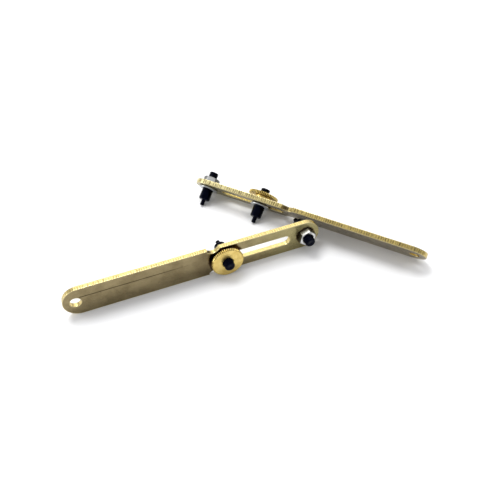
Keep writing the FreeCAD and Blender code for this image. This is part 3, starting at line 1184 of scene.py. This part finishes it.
@dataclass
class HexNut:
    """A hex nut with both faces chamfered. z = 0 is its foot."""

    across_flats: float = 6.35
    height: float = 2.6
    face_radius: float = 3.05
    bore_radius: float = 2.1
    mouth: float = 0.3
    turn_degrees: float = 17.0
    corner_round: float = 0.06
    land: float = 0.12
    # How much painted shade each flat takes, so that the flats differ as their reflections would.
    flat_shades: tuple[float, ...] = (0.1, 0.75, 0.15, 0.6, 0.05, 0.8)

    def angles(self) -> list[float]:
        """Column angles, closer together at the six corners."""
        turn = math.radians(self.turn_degrees)
        steps = [-30, -29.2, -28, -25, -20, -15, -10, -5, 0, 5, 10, 15, 20, 25, 28, 29.2]
        return [turn + math.radians(60 * side + 30 + step) for side in range(6) for step in steps]

    def profile_at(self, angle: float) -> list[RadiusHeight]:
        """The outline at one angle, a loop that runs up the outside and down the bore."""
        sector = (math.degrees(angle) - self.turn_degrees) % 60 - 30
        corner = self.across_flats / math.sqrt(3)
        outside = min(self.across_flats / 2 / math.cos(math.radians(sector)), corner - self.corner_round)
        chamfer = max(0.0, (outside - self.face_radius)) * math.tan(math.radians(30))
        bore, mouth, top, face = self.bore_radius, self.mouth, self.height, self.face_radius
        return [(face, 0.0), (outside, chamfer), (outside, top - chamfer), (face, top),
                (face - self.land, top), (bore + mouth, top), (bore, top - mouth), (bore, mouth),
                (bore + mouth, 0.0), (face - self.land, 0.0)]

    def build(self) -> Mesh:
        """Builds the nut about z, in millimetres; each flat takes its own amount of painted shade."""
        mesh = turned(self.profile_at, self.angles(), closed=True)
        tone = mesh.attributes.new("facet_tone", "FLOAT", "POINT")
        for vert, item in zip(mesh.vertices, tone.data):
            side = int((math.degrees(math.atan2(vert.co.y, vert.co.x)) - self.turn_degrees) % 360 // 60)
            on_flat = vert.co.to_2d().length > self.face_radius + 0.01
            item.value = self.flat_shades[side] if on_flat and 0.01 < vert.co.z < self.height - 0.01 else 0.0
        return mesh


@dataclass
class ThumbNut:
    """A thin knurled disc on a plain boss. z = 0 is the boss's foot."""

    radius: float = 6.5
    rim_chamfer: float = 0.25
    height: float = 2.6
    boss_radius: float = 3.5
    boss_height: float = 1.3
    bore_radius: float = 2.1
    mouth: float = 0.3
    teeth: int = 52
    tooth_depth: float = 0.38
    columns_per_tooth: int = 8
    boss_round: float = 0.15
    chamfer_steps: int = 6
    rim_rows: int = 4
    under_land: float = 0.6
    top_land: float = 0.35
    mouth_land: float = 0.12

    def profile(self) -> list[RadiusHeight]:
        """The outline as a loop that runs up the outside and down the bore."""
        c = self.rim_chamfer
        low, top = self.boss_height, self.height
        boss, bore, mouth = self.boss_radius, self.bore_radius, self.bore_radius + self.mouth
        outside = softened([(boss - self.boss_round, 0.0), (boss, self.boss_round), (boss, low),
                            (self.radius - c - self.under_land, low), (self.radius - c, low)],
                           0.1, 3, closed=False)
        n, rows = self.chamfer_steps, self.rim_rows
        rim = [(self.radius - c + c * k / n, low + c * k / n) for k in range(1, n + 1)]
        rim += [(self.radius, low + c + (top - low - 2 * c) * k / rows) for k in range(1, rows + 1)]
        rim += [(self.radius - c * k / n, top - c + c * k / n) for k in range(1, n + 1)]
        inside = [(self.radius - c - self.top_land, top), (mouth + self.mouth_land, top)]
        inside += softened([(mouth, top), (bore, top - self.mouth), (bore, self.mouth), (mouth, 0.0)],
                           0.06, 2, closed=False)
        return outside + rim + inside

    def build(self, trees: ShapeTrees, material: Material) -> Mesh:
        """Builds the thumb nut about z, in millimetres."""
        profile = self.profile()
        plain = turned(lambda _: profile, round_angles(self.teeth * self.columns_per_tooth), closed=True)
        return grown(plain, trees.knurl, Rim_Radius=self.radius, Tooth_Depth=self.tooth_depth,
                     Teeth=self.teeth, Material=material)


# ---- assemblies


@dataclass
class Dresser:
    """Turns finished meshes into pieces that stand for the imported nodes."""

    crease_degrees: float = 34.0

    def place(self, name: str, mesh: Mesh, placement: Matrix, material: Material,
              body: str, slot: Slot) -> bpy.types.Object:
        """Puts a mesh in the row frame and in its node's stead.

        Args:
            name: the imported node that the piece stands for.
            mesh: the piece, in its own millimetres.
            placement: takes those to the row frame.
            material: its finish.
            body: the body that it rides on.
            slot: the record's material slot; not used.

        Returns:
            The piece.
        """
        mesh.transform(placement)
        mesh.materials.clear()
        mesh.materials.append(material)
        mesh.shade_smooth()
        mesh.set_sharp_from_angle(angle=math.radians(self.crease_degrees))
        mesh.name = f"{name}_look"
        piece = in_scene(mesh.name, mesh)
        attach(piece, body)
        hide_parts(name)
        low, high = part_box(name)
        corners = [Vector(v.co) for v in mesh.vertices]
        off = max(max(abs(min(c[i] for c in corners) - low[i]), abs(max(c[i] for c in corners) - high[i]))
                  for i in range(3))
        LOG.info("%s: %d faces, box within %.2f mm of its node's", name, len(mesh.polygons), off / MM)
        return piece


@dataclass
class Spanner:
    """One spanner with all its pieces."""

    side: Side
    effects: Effects
    trees: ShapeTrees
    dresser: Dresser
    scribe_line: ScribeLine | None = None
    slide_gap: float = 0.05

    def __post_init__(self) -> None:
        """Makes the pieces' sizes and reads where the spanner lies."""
        # The scallop's painted shade lies on the shoulder side on the front bar and on the arm side on the
        # rear bar.
        self.bar = FlatBar(scallop_shade_offset=1.7 if self.side is Side.FRONT else -1.2)
        self.pin = TurnedPin()
        self.washer = PlainWasher()
        self.frame = SpannerFrame.read(self.side, self.bar.hole_x)

    def name(self, piece: str) -> str:
        """A piece's full name."""
        return f"{self.side.value}_{piece}"

    def build(self) -> None:
        """Builds and dresses every piece."""
        self.build_bar()
        under = -self.bar.thickness / 2 - self.washer.thickness
        self.build_pin("end", "frame", self.frame.end_pin_x, under)
        self.build_pin("sliding", "slider", self.frame.sliding_pin_x, under - self.slide_gap)
        self.build_hex_nut()
        self.build_thumb_nut()

    def build_bar(self) -> None:
        """Builds the bar with its tool marks."""
        finish = SatinBarBrass(self.effects, **(REAR_TONES if self.side is Side.REAR else {}))
        brass = finish.build(self.name("bar_brass"), self.frame, self.scribe_line)
        mesh = grown(self.bar.build(self.scribe_line), self.trees.tool_marks, Pitch=self.bar.mark_pitch,
                     Depth=self.bar.mark_depth, Seed=7 if self.side is Side.FRONT else 11, Material=brass)
        self.dresser.place(self.name("bar"), mesh, self.frame.matrix, brass, self.name("frame"), Slot.BAR)

    def build_pin(self, which: str, body: str, x: float, z: float) -> None:
        """Builds a pin and the washer on its shoulder.

        Args:
            which: end or sliding.
            body: the last part of the body's name.
            x: how far along the bar it is.
            z: how high its shoulder is.
        """
        place = self.frame.at(x, z)
        black = BLACK_OXIDE.build(self.effects, self.name(f"{which}_pin_black"), place)
        grey = DULL_ZINC.build(self.effects, self.name(f"{which}_washer_zinc"), place)
        self.dresser.place(self.name(f"{which}_pin"), self.pin.build(self.trees, black), place, black,
                           self.name(body), Slot.PIN)
        self.dresser.place(self.name(f"{which}_washer"), self.washer.build(), place, grey,
                           self.name(body), Slot.WASHER)

    def build_hex_nut(self) -> None:
        """Builds the end pin's hex nut."""
        place = self.frame.at(self.frame.end_pin_x, self.bar.thickness / 2)
        zinc = BRIGHT_ZINC.build(self.effects, self.name("end_nut_zinc"), place)
        self.dresser.place(self.name("end_nut"), HexNut().build(), place, zinc,
                           self.name("frame"), Slot.HEX_NUT)

    def build_thumb_nut(self) -> None:
        """Builds the knurled thumb nut."""
        place = self.frame.at(self.frame.sliding_pin_x, self.bar.thickness / 2 + self.slide_gap)
        brass = TurnedBrass(self.effects).build(self.name("thumb_nut_brass"), place)
        self.dresser.place(self.name("thumb_nut"), ThumbNut().build(self.trees, brass), place, brass,
                           self.name("thumb"), Slot.THUMB_NUT)


# ---- studio


@dataclass(frozen=True)
class Softbox:
    """A square soft light that faces the object. Metres, watts and degrees; azimuth is from +Y toward -X."""

    name: str
    azimuth: float
    elevation: float
    distance: float
    size: float
    power: float

    def build(self) -> None:
        """Adds the light."""
        a, e = math.radians(self.azimuth), math.radians(self.elevation)
        toward = Vector((-math.sin(a) * math.cos(e), math.cos(a) * math.cos(e), math.sin(e)))
        data = bpy.data.lights.new(self.name, "AREA")
        data.shape = "SQUARE"
        data.size = self.size
        data.energy = self.power
        light = in_scene(self.name, data)
        light.location = toward * self.distance
        light.rotation_mode = "QUATERNION"
        light.rotation_quaternion = toward.to_track_quat("Z", "Y")


@dataclass
class Studio:
    """Pale floor, soft light and the camera. Metres and degrees."""

    floor_half: float = 3.0
    floor_grey: float = 0.86
    sky_strength: float = 0.72
    softboxes: tuple[Softbox, ...] = (
        Softbox("key_softbox", azimuth=20.0, elevation=63.0, distance=1.0, size=0.42, power=5.2),
        Softbox("window_softbox", azimuth=-20.0, elevation=54.0, distance=1.3, size=1.5, power=8.2),
        Softbox("left_softbox", azimuth=70.0, elevation=20.0, distance=1.0, size=0.6, power=3.8))
    target: tuple[float, float, float] = (0.00677, -0.00391, 0.0)
    azimuth: float = -20.34
    elevation: float = 46.745
    distance: float = 0.24109
    lens: float = 42.504
    roll: float = -1.33

    def build(self) -> None:
        """Builds everything."""
        self.build_floor()
        self.build_sky()
        for softbox in self.softboxes:
            softbox.build()
        self.build_camera()
        bpy.context.scene.view_settings.view_transform = "Standard"

    def build_floor(self) -> None:
        """A large pale matt floor with a trace of unevenness."""
        shape = bmesh.new()
        bmesh.ops.create_grid(shape, x_segments=1, y_segments=1, size=self.floor_half)
        mesh = mesh_of(shape, "floor")
        material = bpy.data.materials.new("floor_white")
        material.use_nodes = True
        make = ShaderMaker(material.node_tree)
        place = make.add("ShaderNodeTexCoord").outputs["Object"]
        g = self.floor_grey
        darker = g * 0.985
        tone = make.layer((g, g, g, 1.0), (darker, darker, g, 1.0), make.noise(place, 60.0, 3.0))
        shader = material.node_tree.nodes["Principled BSDF"]
        make.feed(shader.inputs["Base Color"], tone)
        shader.inputs["Roughness"].default_value = 0.85
        shader.inputs["Specular IOR Level"].default_value = 0.15
        mesh.materials.append(material)
        floor = in_scene("floor", mesh)

    def build_sky(self) -> None:
        """Even light from all round."""
        world = bpy.data.worlds.new("studio")
        bpy.context.scene.world = world
        world.use_nodes = True
        background = world.node_tree.nodes["Background"]
        background.inputs["Color"].default_value = (0.97, 0.98, 1.0, 1.0)
        background.inputs["Strength"].default_value = self.sky_strength

    def build_camera(self) -> None:
        """The camera, turned a little about its own line of sight."""
        a, e, r = (math.radians(v) for v in (self.azimuth, self.elevation, self.roll))
        back = Vector((math.sin(a) * math.cos(e), -math.cos(a) * math.cos(e), math.sin(e)))
        right = (-back).cross(Vector((0, 0, 1))).normalized()
        up = back.cross(right)
        tilted_right = right * math.cos(r) + up * math.sin(r)
        tilted_up = up * math.cos(r) - right * math.sin(r)
        data = bpy.data.cameras.new("camera")
        data.lens = self.lens
        data.sensor_width = 36.0
        data.clip_start, data.clip_end = 0.01, 20.0
        camera = in_scene("camera", data)
        turn = Matrix((tilted_right, tilted_up, back)).transposed().to_4x4()
        camera.matrix_world = Matrix.Translation(Vector(self.target) + back * self.distance) @ turn
        bpy.context.scene.camera = camera


def main() -> None:
    """Builds both spanners and the studio, and notes the two boxes."""
    logging.basicConfig(level=logging.INFO, format="%(name)s: %(message)s")
    effects, trees, dresser = Effects(), ShapeTrees(), Dresser()
    Spanner(Side.FRONT, effects, trees, dresser, ScribeLine()).build()
    Spanner(Side.REAR, effects, trees, dresser).build()
    Studio().build()


if __name__ == "__main__":
    main()
